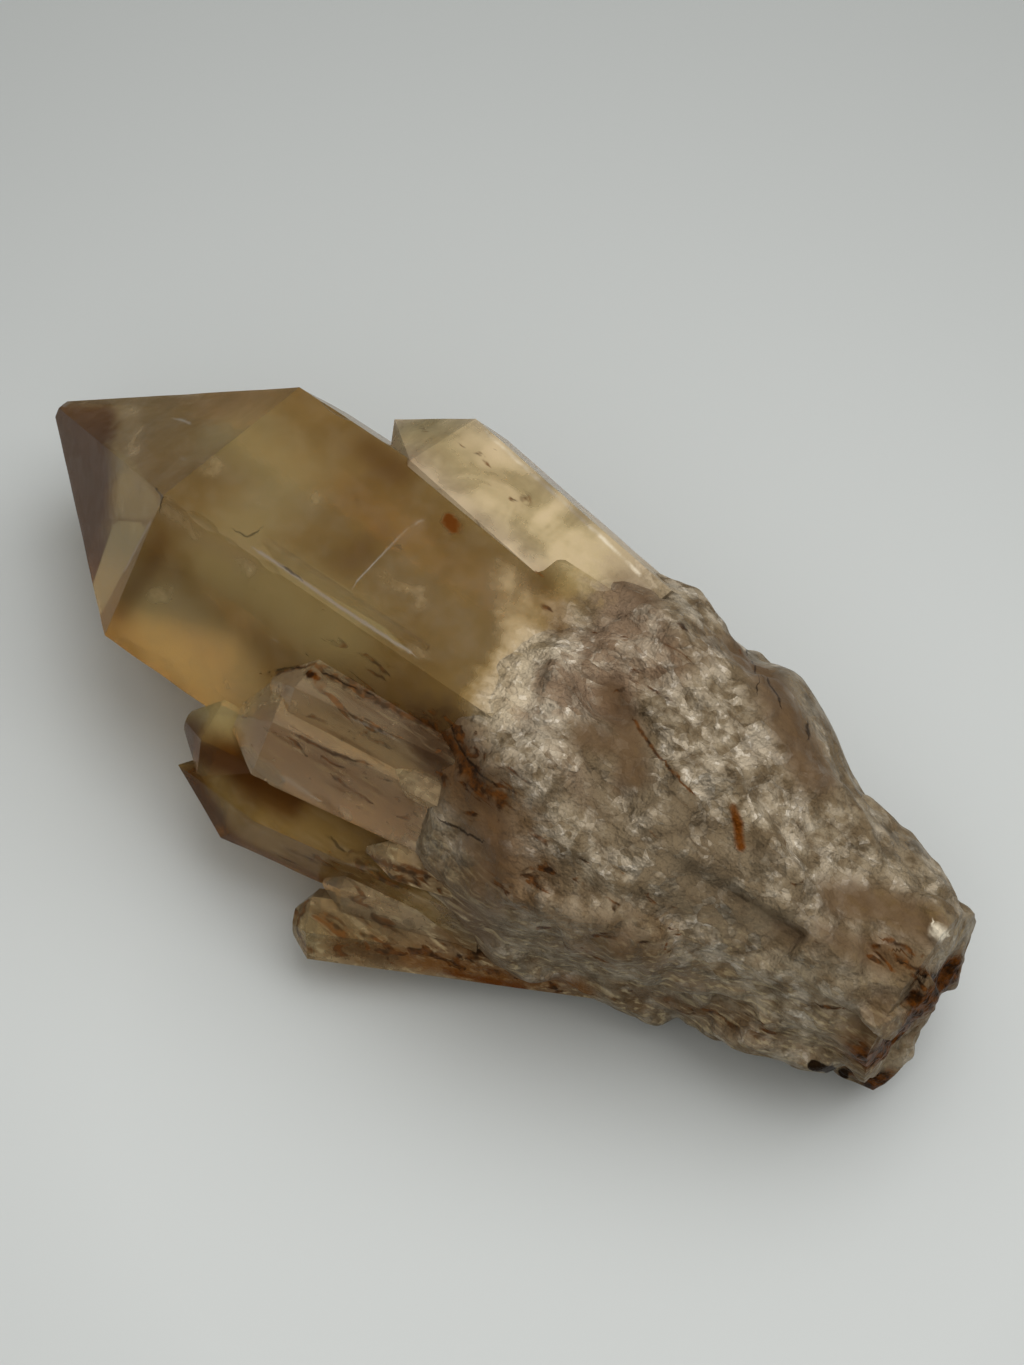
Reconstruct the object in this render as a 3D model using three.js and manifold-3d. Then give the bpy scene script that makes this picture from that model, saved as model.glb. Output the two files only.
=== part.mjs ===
// Natural citrine: a stout quartz crystal with smaller crystals grown beside it, all fused in one
// milky, rough root that ends in a broken face. The whole specimen is one grown-together solid.
// Lengths are millimetres and angles are degrees. X runs along the main crystal, from its point at
// low X to the broken root at high X. Z is up, and the main crystal lies on one of its prism faces.
import * as THREE from "three";
import { mergeVertices } from "three/addons/utils/BufferGeometryUtils.js";
import Module from "manifold-3d";

const wasm = await Module();
wasm.setup();

const radians = THREE.MathUtils.degToRad;

// Quartz: six prism faces, and a point of six faces.
const faceCount = 6;
const faceStep = 360 / faceCount;

// Main crystal: radius to a prism edge, and the height of its axis when it lies on a prism face.
const mainRadius = 19.5;
const mainAxisHeight = mainRadius * Math.cos(radians(faceStep / 2));

// Every crystal is a six-sided prism with a point of six faces, on its own axis X from the point to
// the root. at is the spot on the axis abreast of the point, and point says how far the point lies
// beside the axis. shoulders says how far behind the point each prism edge starts: upper far (+Y),
// upper near (-Y), near, lower near, lower far and far. heading turns the crystal's root towards
// +Y, climb lifts its point, roll lifts its far side, and blunt is the length worn off its point.
const crystals = {
  main: {
    radius: mainRadius,
    at: [-2.6, 0, mainAxisHeight],
    point: [1.7, -3.4],
    shoulders: [31.6, 29.6, 27.7, 20, 19, 28.6],
    length: 86,
    blunt: 1.6,
  },
  far: {
    radius: 8.7,
    at: [37, 14.7, 27.2],
    point: [0.8, 1.6],
    shoulders: [8.8, 8, 8, 9, 9.5, 9.5],
    length: 38,
    heading: -8,
    climb: 2,
  },
  ridgeLedge: {
    radius: 2.4,
    at: [33.5, -8.3, 32.1],
    point: [1, 0],
    shoulders: [8, 9, 9, 3, 3, 3],
    length: 27,
    heading: 2,
    climb: 1,
    roll: 30,
  },
  upperBlade: {
    radius: 6,
    at: [45, -14.7, 23],
    point: [-1, 0.4],
    shoulders: [6, 5.5, 5, 6, 6, 6],
    length: 36,
    heading: 8,
    climb: -3,
    blunt: 1,
  },
  middleBlade: {
    radius: 7,
    at: [42.4, -18.2, 19.6],
    point: [-1.5, -1],
    shoulders: [6, 7.5, 6.5, 6, 6, 6],
    length: 40,
    heading: 10,
    climb: -1,
    blunt: 1.6,
  },
  lowerBlade: {
    radius: 3.2,
    at: [47.6, -21.2, 19.4],
    point: [0, 0],
    shoulders: [3.5, 4.5, 4, 3, 3, 3],
    length: 28,
    heading: 10,
    climb: -1,
    blunt: 1,
  },
  brownTip: {
    radius: 6.5,
    at: [39.4, -23.4, 12],
    point: [-1, -0.9],
    shoulders: [9, 11, 12, 7.5, 8, 8],
    length: 38,
    heading: 11.5,
    roll: -33,
  },
  brownShoulder: {
    radius: 5,
    at: [36.8, -20.9, 14.2],
    point: [0, 0],
    shoulders: [5, 5, 5, 5, 5, 5],
    length: 26,
    heading: 10,
    roll: 12,
    blunt: 1.2,
  },
  lowSmall: {
    radius: 3.3,
    at: [59.6, -25, 10],
    point: [-0.4, 0],
    shoulders: [3.2, 3, 3.2, 3.4, 3.4, 3.4],
    length: 24,
    heading: 22,
    roll: 10,
    blunt: 0.5,
  },
  lowest: {
    radius: 3.9,
    at: [58.3, -29.8, 6.1],
    point: [0, 0.6],
    shoulders: [3, 3, 3.2, 3.6, 3.6, 3.2],
    length: 38,
    heading: 29.5,
    roll: 12,
    blunt: 1.2,
  },
};

// Root: sections along X, each with the middle and the half sizes of a rounded outline. A rough
// broken face closes it, which bulges a little. squareness 2 would be an ellipse.
const rootSections = [
  { x: 52, y: 0, z: 17, halfWidth: 9, halfHeight: 8 },
  { x: 63, y: -0.5, z: 17, halfWidth: 15.5, halfHeight: 14.5 },
  { x: 71, y: -0.8, z: 17.3, halfWidth: 19.8, halfHeight: 16.8 },
  { x: 80, y: -1, z: 17.6, halfWidth: 20.6, halfHeight: 17.6 },
  { x: 90, y: -0.2, z: 16.6, halfWidth: 18, halfHeight: 16.6 },
  { x: 100, y: -0.2, z: 15.4, halfWidth: 13.6, halfHeight: 14.4 },
  { x: 110, y: 0.3, z: 14.5, halfWidth: 11.2, halfHeight: 12 },
  { x: 117.8, y: -0.1, z: 13.9, halfWidth: 9.5, halfHeight: 10.4 },
];
const squareness = 2.6;
const endBulge = 1;
const trunkRings = 44;
const endRings = 5;
const rootSides = 48;

// Lumps and slabs (rise above 0), valleys and pits (below 0) of the root: the middle of each, its
// half length and half width, the turn of its length about Z, its rise, and how much it smooths the
// chips inside it (0 to 1).
const reliefs = [
  { at: [75, -7, 33], half: [9, 9], heading: 0, rise: 1.6, smooth: 0.4 },
  { at: [88, 4.5, 32], half: [13, 7.5], heading: -14, rise: 1.5, smooth: 0 },
  { at: [78.5, -1.2, 34], half: [3, 2.4], heading: 0, rise: -3.2, smooth: 0 },
  { at: [83, -6, 33], half: [8, 4], heading: -50, rise: -1.7, smooth: 0.7 },
  { at: [95, -4.5, 31], half: [3.4, 1.5], heading: -45, rise: -1.6, smooth: 0 },
  { at: [82, -18, 22], half: [14, 3.4], heading: 10, rise: 1.2, smooth: 0 },
  { at: [92, 13, 25], half: [8, 6], heading: -25, rise: 1.4, smooth: 1 },
  { at: [109, 0, 26.5], half: [6, 4.5], heading: 0, rise: -0.8, smooth: 1 },
  { at: [73, 19, 24], half: [5, 3], heading: 0, rise: 1.8, smooth: 0 },
  { at: [77, 14, 31], half: [6, 4], heading: -8, rise: 1.8, smooth: 0 },
  { at: [105, -13, 10], half: [7, 5], heading: 10, rise: 1.6, smooth: 0 },
  { at: [117, 8, 6], half: [8, 6], heading: 0, rise: -2.6, smooth: 0 },
];

// Chips: the broken surface is made of flat chips about this long and this wide, long along X like
// the crystals, which rise and lean by about this much.
const chipLength = 15;
const chipWidth = 7;
const chipRise = 1.1;
const chipLean = 1.4;

// A shell-shaped chip along the main crystal's upper near edge: a long round bite this far out.
const edgeChip = { at: [31, -10.7, 35.5], half: [7.5, 2.8, 2.8], roundness: 2 };

// The middle of the whole specimen's footprint, which becomes the origin.
const footprintMiddle = [59.6, -4.78];

// Corners closer than this are one corner.
const mergeDistance = 1e-4;

function solidFrom(geometry) {
  const bare = new THREE.BufferGeometry();
  bare.setAttribute("position", geometry.getAttribute("position").clone());
  if (geometry.index) bare.setIndex(geometry.index.clone());
  const merged = mergeVertices(bare, mergeDistance);
  return new wasm.Manifold(
    new wasm.Mesh({
      numProp: 3,
      vertProperties: new Float32Array(merged.attributes.position.array),
      triVerts: new Uint32Array(merged.index.array),
    }),
  );
}

function geometryFrom(solid) {
  const mesh = solid.getMesh();
  const position = new Float32Array(mesh.numVert * 3);
  for (let i = 0; i < mesh.numVert; i++) {
    const start = i * mesh.numProp;
    position.set(mesh.vertProperties.subarray(start, start + 3), i * 3);
  }
  return new THREE.BufferGeometry()
    .setAttribute("position", new THREE.BufferAttribute(position, 3))
    .setIndex(new THREE.BufferAttribute(mesh.triVerts, 1));
}

function closedShape(corners, triangles) {
  const geometry = new THREE.BufferGeometry();
  geometry.setAttribute("position", new THREE.Float32BufferAttribute(corners.flat(), 3));
  geometry.setIndex(triangles);
  return solidFrom(geometry);
}

// A crystal as a closed solid: its point, the shoulders and feet of its prism edges, and the middle
// of its foot. In its own frame its axis is X, from the point at low X to its foot in the root.
function quartzCrystal(crystal) {
  const { radius, at, point, shoulders, length, heading = 0, climb = 0, roll = 0, blunt = 0 } = crystal;
  const edges = shoulders.map((_, i) => {
    const angle = radians(faceStep * (i + 1));
    return [radius * Math.cos(angle), radius * Math.sin(angle)];
  });
  const corners = [[0, ...point]];
  edges.forEach((edge, i) => corners.push([shoulders[i], ...edge]));
  edges.forEach((edge) => corners.push([length, ...edge]));
  corners.push([length, 0, 0]);
  const footMiddle = corners.length - 1;
  const triangles = [];
  for (let i = 0; i < faceCount; i++) {
    const [shoulder, next] = [1 + i, 1 + ((i + 1) % faceCount)];
    const [foot, nextFoot] = [shoulder + faceCount, next + faceCount];
    triangles.push(0, next, shoulder);
    triangles.push(shoulder, next, nextFoot, shoulder, nextFoot, foot);
    triangles.push(foot, nextFoot, footMiddle);
  }
  const place = new THREE.Matrix4().makeRotationFromEuler(
    new THREE.Euler(radians(roll), radians(climb), radians(heading), "ZYX"),
  );
  place.setPosition(...at);
  return closedShape(corners, triangles).trimByPlane([1, 0, 0], blunt).transform(place.elements);
}

// Repeatable random number from 0 to 1 for a whole-numbered cell and a channel.
const hashSteps = [127.1, 311.7, 74.7, 53.3];
const hashScale = 43758.5453;
function cellRandom(...key) {
  const wave = Math.sin(key.reduce((sum, part, n) => sum + part * hashSteps[n], 0)) * hashScale;
  return wave - Math.floor(wave);
}

// Chipped surface: space is split in cells round scattered points, and in each cell the surface
// leans its own way, so that flat chips meet in ridges and small ledges. Returns millimetres.
// A cell's channels 0 to 2 place its point, riseChannel lifts it, and the next three lean it.
const riseChannel = 3;
function chipsAt(x, y, z) {
  const spot = [x / chipLength, y / chipWidth, z / chipWidth];
  const cell = spot.map(Math.floor);
  let nearest = Infinity;
  let height = 0;
  for (let di = -1; di <= 1; di++)
    for (let dj = -1; dj <= 1; dj++)
      for (let dk = -1; dk <= 1; dk++) {
        const key = [cell[0] + di, cell[1] + dj, cell[2] + dk];
        const away = key.map((c, axis) => spot[axis] - c - cellRandom(...key, axis));
        const distance = away.reduce((sum, a) => sum + a * a, 0);
        if (distance >= nearest) continue;
        nearest = distance;
        const lean = away.map((a, axis) => a * (2 * cellRandom(...key, riseChannel + 1 + axis) - 1));
        height = 2 * cellRandom(...key, riseChannel) - 1 + chipLean * lean.reduce((a, b) => a + b);
      }
  return chipRise * height;
}

// The middle and half sizes of the root at a place along it, on straight lines between sections.
function sectionAt(x) {
  const next = rootSections.findIndex((section, n) => n > 0 && x <= section.x);
  const b = rootSections.at(next);
  const a = rootSections.at(next - 1);
  const t = THREE.MathUtils.clamp((x - a.x) / (b.x - a.x), 0, 1);
  const mix = (key) => THREE.MathUtils.lerp(a[key], b[key], t);
  return { y: mix("y"), z: mix("z"), halfWidth: mix("halfWidth"), halfHeight: mix("halfHeight") };
}

// How far lumps, valleys and pits move the root's surface at a point, and how much of the chipping
// is left there. Each relief is flat in its middle and has steep sides.
function reliefAt(x, y, z) {
  let height = 0;
  let rough = 1;
  for (const { at, half, heading, rise, smooth } of reliefs) {
    const [dx, dy, dz] = [x - at[0], y - at[1], z - at[2]];
    const [c, s] = [Math.cos(radians(heading)), Math.sin(radians(heading))];
    const along = (c * dx + s * dy) / half[0];
    const across = Math.hypot(c * dy - s * dx, dz) / half[1];
    const weight = Math.exp(-((along ** 2 + across ** 2) ** 2));
    height += rise * weight;
    rough *= 1 - smooth * weight;
  }
  return { height, rough };
}

// The root: a rounded tapering trunk with its reliefs, chipped all over, and a broken end. On the
// end the rings shrink to its middle, and the chips lift it along X instead of outwards.
function rootBody() {
  const first = rootSections[0].x;
  const last = rootSections.at(-1).x;
  const rings = trunkRings + endRings;
  const corners = [];
  for (let ring = 0; ring <= rings; ring++) {
    const cap = Math.max(0, ring - trunkRings) / endRings;
    const trunk = Math.min(ring, trunkRings) / trunkRings;
    const section = sectionAt(first + (last - first) * trunk);
    const x = first + (last - first) * trunk + endBulge * Math.sin((Math.PI / 2) * cap);
    for (let side = 0; side < rootSides; side++) {
      const angle = (2 * Math.PI * side) / rootSides;
      const [c, s] = [Math.cos(angle), Math.sin(angle)];
      const outline =
        Math.abs(c / section.halfWidth) ** squareness + Math.abs(s / section.halfHeight) ** squareness;
      const reach = outline ** (-1 / squareness) * Math.sqrt(1 - cap);
      const [y, z] = [section.y + reach * c, section.z + reach * s];
      const { height, rough } = reliefAt(x, y, z);
      const chip = rough * chipsAt(x, y, z);
      const outwards = (height + chip) * (1 - cap);
      corners.push([x + chip * cap, y + outwards * c, z + outwards * s]);
    }
  }
  const startMiddle = corners.length;
  const start = sectionAt(first);
  corners.push([first, start.y, start.z]);
  const corner = (ring, side) => ring * rootSides + (side % rootSides);
  const triangles = [];
  for (let side = 0; side < rootSides; side++) {
    triangles.push(startMiddle, corner(0, side + 1), corner(0, side));
    for (let ring = 0; ring < rings; ring++) {
      triangles.push(corner(ring, side), corner(ring, side + 1), corner(ring + 1, side + 1));
      triangles.push(corner(ring, side), corner(ring + 1, side + 1), corner(ring + 1, side));
    }
  }
  return closedShape(corners, triangles);
}

let specimen = rootBody();
for (const crystal of Object.values(crystals)) specimen = specimen.add(quartzCrystal(crystal));

const bite = new THREE.IcosahedronGeometry(1, edgeChip.roundness);
bite.scale(...edgeChip.half).translate(...edgeChip.at);
specimen = specimen.subtract(solidFrom(bite));

// The surface that it lies on is Z = 0.
specimen = specimen.trimByPlane([0, 0, 1], 0);
specimen = specimen.translate([-footprintMiddle[0], -footprintMiddle[1], 0]);

const citrine = new THREE.MeshStandardMaterial({
  color: 0xa8875a,
  roughness: 0.3,
  metalness: 0,
});

const specimenMesh = new THREE.Mesh(geometryFrom(specimen), citrine);
specimenMesh.name = "citrine_cluster";

const group = new THREE.Group();
group.add(specimenMesh);

export default group;
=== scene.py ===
from functools import partial

import bpy
import numpy as np
from mathutils import Matrix, Vector
from mathutils.bvhtree import BVHTree


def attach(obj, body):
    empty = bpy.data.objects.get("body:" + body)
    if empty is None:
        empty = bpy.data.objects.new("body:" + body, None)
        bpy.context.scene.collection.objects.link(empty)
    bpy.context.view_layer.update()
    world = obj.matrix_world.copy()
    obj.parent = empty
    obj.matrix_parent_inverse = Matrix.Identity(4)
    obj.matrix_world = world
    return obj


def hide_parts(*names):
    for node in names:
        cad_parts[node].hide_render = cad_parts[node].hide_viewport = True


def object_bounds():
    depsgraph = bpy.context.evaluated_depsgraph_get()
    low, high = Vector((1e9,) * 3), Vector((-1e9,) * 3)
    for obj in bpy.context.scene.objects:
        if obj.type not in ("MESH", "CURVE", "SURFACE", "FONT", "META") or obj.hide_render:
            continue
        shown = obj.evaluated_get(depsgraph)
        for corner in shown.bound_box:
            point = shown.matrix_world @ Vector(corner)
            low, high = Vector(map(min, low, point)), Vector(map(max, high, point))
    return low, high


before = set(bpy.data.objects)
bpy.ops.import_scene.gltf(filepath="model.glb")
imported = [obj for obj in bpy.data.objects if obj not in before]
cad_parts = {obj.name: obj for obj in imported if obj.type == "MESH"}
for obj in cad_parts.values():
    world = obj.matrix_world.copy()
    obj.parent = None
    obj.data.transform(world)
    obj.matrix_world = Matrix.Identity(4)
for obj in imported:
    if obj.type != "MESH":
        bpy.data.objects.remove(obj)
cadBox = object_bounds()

# Natural citrine: a stout honey-clear quartz point with smaller crystals grown beside it, all fused
# in one milky, rough root. Sizes are millimetres until the mesh is made, with X along the main
# crystal from its point to the root, Y to the far side and Z up.
mm = 0.001
originMm = np.array([59.6, -4.78, 0.0])  # the frame's origin, counted from the main crystal's end


def hexToLinear(code):
    channels = np.array([int(code[i:i + 2], 16) for i in (1, 3, 5)]) / 255
    linear = np.where(channels <= 0.04045, channels / 12.92, ((channels + 0.055) / 1.055) ** 2.4)
    return (*linear.tolist(), 1.0)


def toFrame(points):
    return (np.asarray(points) - originMm) * mm


def smoothStep(low, high, value):
    t = np.clip((value - low) / (high - low), 0, 1)
    return t * t * (3 - 2 * t)


# repeatable random number from 0 to 1 for a whole-numbered cell and a channel: the fraction of a
# large sine wave of a weighted sum
hashSteps = (127.1, 311.7, 74.7, 53.3)
hashScale = 43758.5453


def cellRandom(cells, channel):
    wave = np.sin(cells @ np.array(hashSteps[:3]) + channel * hashSteps[3]) * hashScale
    return wave - np.floor(wave)


# smooth noise from 0 to 1: random numbers at the corners of cubes of this size, blended along each
# axis by t * t * (3 - 2 t)
def softNoise(points, size, channel):
    spot = points / size
    cell = np.floor(spot)
    t = spot - cell
    t = t * t * (3 - 2 * t)
    total = np.zeros(points.shape[:-1])
    for corner in np.ndindex(2, 2, 2):
        side = np.array(corner)
        weight = np.prod(np.where(side == 1, t, 1 - t), axis=-1)
        total += weight * cellRandom(cell + side, channel)
    return total


# flat chips: space is split in cells round scattered points, and in each cell the surface rises and
# leans its own way, so that flat chips meet in ridges and small ledges
riseChannel = 3


def chipHeight(points, length, width, rise, lean):
    spot = points / np.array([length, width, width])
    cell = np.floor(spot)
    nearest = np.full(points.shape[:-1], np.inf)
    height = np.zeros(points.shape[:-1])
    for step in np.ndindex(3, 3, 3):
        key = cell + np.array(step) - 1
        scattered = np.stack([cellRandom(key, axis) for axis in range(3)], axis=-1)
        away = spot - key - scattered
        distance = (away ** 2).sum(axis=-1)
        leans = [2 * cellRandom(key, riseChannel + 1 + axis) - 1 for axis in range(3)]
        chip = 2 * cellRandom(key, riseChannel) - 1 + lean * (away * np.stack(leans, axis=-1)).sum(axis=-1)
        closer = distance < nearest
        nearest = np.where(closer, distance, nearest)
        height = np.where(closer, chip, height)
    return rise * height


# a closed skin round an axis, from rings of equally many points and one point at each end
def skinObject(name, rings, startPoint, endPoint, source):
    ringCount, sideCount = rings.shape[:2]
    points = np.vstack([startPoint, rings.reshape(-1, 3), endPoint])
    here = 1 + np.arange(ringCount * sideCount).reshape(ringCount, sideCount)
    beside = np.roll(here, -1, axis=1)
    quads = np.stack([here[:-1], beside[:-1], beside[1:], here[1:]], axis=-1).reshape(-1)
    startFan = np.stack([np.zeros(sideCount, int), beside[0], here[0]], axis=-1).reshape(-1)
    endFan = np.stack([np.full(sideCount, len(points) - 1), here[-1], beside[-1]], axis=-1).reshape(-1)
    corners = np.concatenate([quads, startFan, endFan])
    sizes = np.concatenate([np.full(len(quads) // 4, 4), np.full(2 * sideCount, 3)])
    mesh = bpy.data.meshes.new(name)
    mesh.vertices.add(len(points))
    mesh.vertices.foreach_set("co", toFrame(points).astype(np.float32).reshape(-1))
    mesh.loops.add(len(corners))
    mesh.loops.foreach_set("vertex_index", corners.astype(np.int32))
    mesh.polygons.add(len(sizes))
    mesh.polygons.foreach_set("loop_start", (np.cumsum(sizes) - sizes).astype(np.int32))
    mesh.attributes.new("source", "INT", "FACE").data.foreach_set("value", np.full(len(sizes), source))
    mesh.update(calc_edges=True)
    mesh.validate()
    skin = bpy.data.objects.new(name, mesh)
    bpy.context.scene.collection.objects.link(skin)
    return skin


# crystals: at is the spot on the axis abreast of the point, point its place beside the axis, and
# shoulders the length of the point along each prism edge, from upper far round by the near side.
# heading turns the root end to the far side, climb lifts the point, roll lifts the far side, and
# blunt is worn off the point. haze is how cloudy the quartz is.
crystals = {
    "main": {
        "radius": 19.5, "at": (-2.6, 0, 16.887), "point": (1.7, -3.4),
        "shoulders": (31.6, 29.6, 27.7, 20, 19, 28.6), "length": 77, "blunt": 1.6,
        "haze": 0.24, "pale": 0.05,
    },
    "far": {
        "radius": 8.7, "at": (37, 14.7, 27.2), "point": (0.8, 1.6),
        "shoulders": (8.8, 8, 8, 9, 9.5, 9.5), "length": 38, "heading": -8, "climb": 2,
        "haze": 0.5, "pale": 1,
    },
    "ridgeLedge": {
        "radius": 2.4, "at": (33.5, -8.3, 32.1), "point": (1, 0),
        "shoulders": (8, 9, 9, 3, 3, 3), "length": 27, "heading": 2, "climb": 1, "roll": 30,
        "haze": 0.3, "pale": 0.15,
    },
    "upperBlade": {
        "radius": 6, "at": (45, -14.7, 23), "point": (-1, 0.4),
        "shoulders": (6, 5.5, 5, 6, 6, 6), "length": 36, "heading": 8, "climb": -3, "blunt": 1,
        "haze": 0.34, "pale": 0.7, "streaks": 0.9,
    },
    "middleBlade": {
        "radius": 7, "at": (42.4, -18.2, 19.6), "point": (-1.5, -1),
        "shoulders": (6, 7.5, 6.5, 6, 6, 6), "length": 40, "heading": 10, "climb": -1, "blunt": 1.6,
        "haze": 0.34, "pale": 0.7, "streaks": 1,
    },
    "lowerBlade": {
        "radius": 3.2, "at": (47.6, -21.2, 19.4), "point": (0, 0),
        "shoulders": (3.5, 4.5, 4, 3, 3, 3), "length": 28, "heading": 10, "climb": -1, "blunt": 1,
        "haze": 0.34, "pale": 0.5, "streaks": 0.9,
    },
    "brownTip": {
        "radius": 6.5, "at": (39.4, -23.4, 12), "point": (-1, -0.9),
        "shoulders": (9, 11, 12, 7.5, 8, 8), "length": 38, "heading": 11.5, "roll": -33,
        "haze": 0.22, "streaks": 0.5,
    },
    "brownShoulder": {
        "radius": 5, "at": (36.8, -20.9, 14.2), "point": (0, 0),
        "shoulders": (5, 5, 5, 5, 5, 5), "length": 26, "heading": 10, "roll": 12, "blunt": 1.2,
        "haze": 0.2,
    },
    "lowSmall": {
        "radius": 3.3, "at": (59.6, -25, 10), "point": (-0.4, 0),
        "shoulders": (3.2, 3, 3.2, 3.4, 3.4, 3.4), "length": 24, "heading": 22, "roll": 10, "blunt": 0.5,
        "haze": 0.34, "pale": 0.5, "streaks": 0.8,
    },
    "lowest": {
        "radius": 3.9, "at": (58.3, -29.8, 6.1), "point": (0, 0.6),
        "shoulders": (3, 3, 3.2, 3.6, 3.6, 3.2), "length": 38, "heading": 29.5, "roll": 12, "blunt": 1.2,
        "haze": 0.34, "pale": 0.4, "streaks": 1,
    },
    "rootLathShort": {
        "radius": 2.2, "at": (62, -17, 25.2), "point": (0, 0),
        "shoulders": (5, 4.4, 4, 5, 4.4, 4), "length": 17, "heading": 8, "climb": -2, "roll": 35,
        "blunt": 0.5,
        "haze": 0.5, "pale": 0.5, "streaks": 0.9,
    },
    "rootLathLow": {
        "radius": 2.5, "at": (63.5, -22.6, 17.6), "point": (0, -0.3),
        "shoulders": (4, 4.6, 4.4, 4, 4, 4), "length": 18, "heading": 18, "climb": -1, "roll": 5,
        "blunt": 0.6,
        "haze": 0.4, "pale": 0.35, "streaks": 1,
    },
}
crystalSkin = {
    "facesRound": 6,
    "spacing": 0.9,  # of the grid on a large crystal
    "fewestColumns": 7,  # across a face of a small one
    "crowding": 0.7,  # of columns towards the edges
    "wearDepth": 0.12,  # taken off the edges, more here and less there
    "wearWidth": 0.3,
    "wearLength": 3.5,  # of one worn stretch
}


# A crystal's surface. Round it, a column is a point on the outline of a six-sided prism. Along it,
# a ring is first a share of the way from the point to the shoulder, which gives six flat point
# faces, then a share of the way from the shoulder to the foot, then from the foot to its middle.
def crystalObject(name, crystal, source):
    look = crystalSkin
    faces = look["facesRound"]
    radius, length = crystal["radius"], crystal["length"]
    angles = np.radians(360 / faces * (np.arange(faces) + 1))
    edges = radius * np.stack([np.cos(angles), np.sin(angles)], axis=-1)
    shoulders = np.array(crystal["shoulders"], float)
    columns = max(look["fewestColumns"], round(radius / look["spacing"]))
    share = np.linspace(0, 1, columns, endpoint=False)
    share = share - look["crowding"] * np.sin(2 * np.pi * share) / (2 * np.pi)

    def roundPrism(corner):
        following = np.roll(corner, -1, axis=0)
        mixed = corner[:, None] * (1 - share)[:, None] + following[:, None] * share[:, None]
        return mixed.reshape(faces * columns, -1)

    outline = roundPrism(edges)
    shoulderAt = roundPrism(shoulders[:, None])
    tip = np.array([0, *crystal["point"]])
    shoulder = np.hstack([shoulderAt, outline])
    foot = np.hstack([np.full_like(shoulderAt, length), outline])
    footMiddle = np.array([length, 0, 0])
    spacing = radius / columns
    tipShare = np.linspace(0, 1, round(shoulders.mean() / spacing) + 2)[1:, None, None]
    bodyShare = np.linspace(0, 1, round((length - shoulders.mean()) / spacing) + 1)[1:, None, None]
    footShare = np.linspace(0, 1, 4)[1:-1, None, None]
    rings = np.concatenate([
        tip + tipShare * (shoulder - tip),
        shoulder + bodyShare * (foot - shoulder),
        foot + footShare * (footMiddle - foot),
    ])

    # wear: how far each point lies from an edge, across its face and along it
    scale = np.concatenate([tipShare, np.ones_like(bodyShare), 1 - footShare])[..., 0]
    across = np.tile(np.minimum(share, 1 - share), faces) * radius * scale
    along = np.abs(rings[..., 0] - shoulderAt[:, 0])
    fromEdge = np.minimum(across, along)
    place = Matrix.Rotation(np.radians(crystal.get("heading", 0)), 3, "Z")
    place = place @ Matrix.Rotation(np.radians(crystal.get("climb", 0)), 3, "Y")
    place = np.array(place @ Matrix.Rotation(np.radians(crystal.get("roll", 0)), 3, "X"))
    patchy = softNoise(rings + 10 * source, look["wearLength"], 1)
    depth = look["wearDepth"] * patchy ** 2 * np.exp(-(fromEdge / look["wearWidth"]) ** 2)
    inwards = footMiddle * 0.5 - rings
    inwards /= np.linalg.norm(inwards, axis=-1, keepdims=True)
    rings = rings + depth[..., None] * inwards
    blunt = crystal.get("blunt", 0)
    rings[..., 0] = np.maximum(rings[..., 0], blunt)
    tip[0] = blunt
    at = np.array(crystal["at"])
    return skinObject(name, rings @ place.T + at, tip @ place.T + at, footMiddle @ place.T + at, source)


# root: sections along X with the middle and half sizes of a rounded outline, closed by a rough
# broken end
rootTrunk = {
    "sections": np.array([  # x, y, z, half width, half height
        (52, 0, 17, 9, 8),
        (63, -0.5, 17, 15.5, 14.5),
        (71, -0.8, 17.3, 19.8, 16.8),
        (80, -1, 17.6, 20.6, 17.6),
        (90, -0.2, 16.6, 18, 16.6),
        (100, -0.2, 15.4, 13.6, 14.4),
        (110, 0.3, 14.5, 11.2, 12),
        (117.8, -0.1, 13.9, 9.5, 10.4),
    ]),
    "squareness": 2.6,
    "endBulge": 1,
    "rings": 210,
    "endRings": 34,
    "sides": 270,
    "lowest": 0.04,
}
# lumps and slabs (rise above 0), valleys and pits (below 0): middle, half length and half width,
# turn about Z, rise, and how much each smooths the chips
reliefs = (
    {"at": (75, -7, 33), "half": (9, 9), "heading": 0, "rise": 1.6, "smooth": 0.4},
    {"at": (88, 4.5, 32), "half": (13, 7.5), "heading": -14, "rise": 1.5, "smooth": 0},
    {"at": (78.5, -1.2, 34), "half": (3, 2.4), "heading": 0, "rise": -3.2, "smooth": 0},
    {"at": (83, -6, 33), "half": (8, 4), "heading": -50, "rise": -1.7, "smooth": 0.7},
    {"at": (95, -4.5, 31), "half": (4, 2.6), "heading": -45, "rise": -0.9, "smooth": 0},
    {"at": (82, -18, 22), "half": (14, 3.4), "heading": 10, "rise": 1.2, "smooth": 0},
    {"at": (92, 13, 25), "half": (8, 6), "heading": -25, "rise": 1.4, "smooth": 1},
    {"at": (109, 0, 26.5), "half": (6, 4.5), "heading": 0, "rise": -0.8, "smooth": 1},
    {"at": (73, 19, 24), "half": (5, 3), "heading": 0, "rise": 1.8, "smooth": 0},
    {"at": (77, 14, 31), "half": (6, 4), "heading": -8, "rise": 1.8, "smooth": 0},
    {"at": (105, -13, 10), "half": (7, 5), "heading": 10, "rise": 1.6, "smooth": 0},
    {"at": (117, 8, 6), "half": (8, 6), "heading": 0, "rise": -2.6, "smooth": 0},
)
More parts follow.
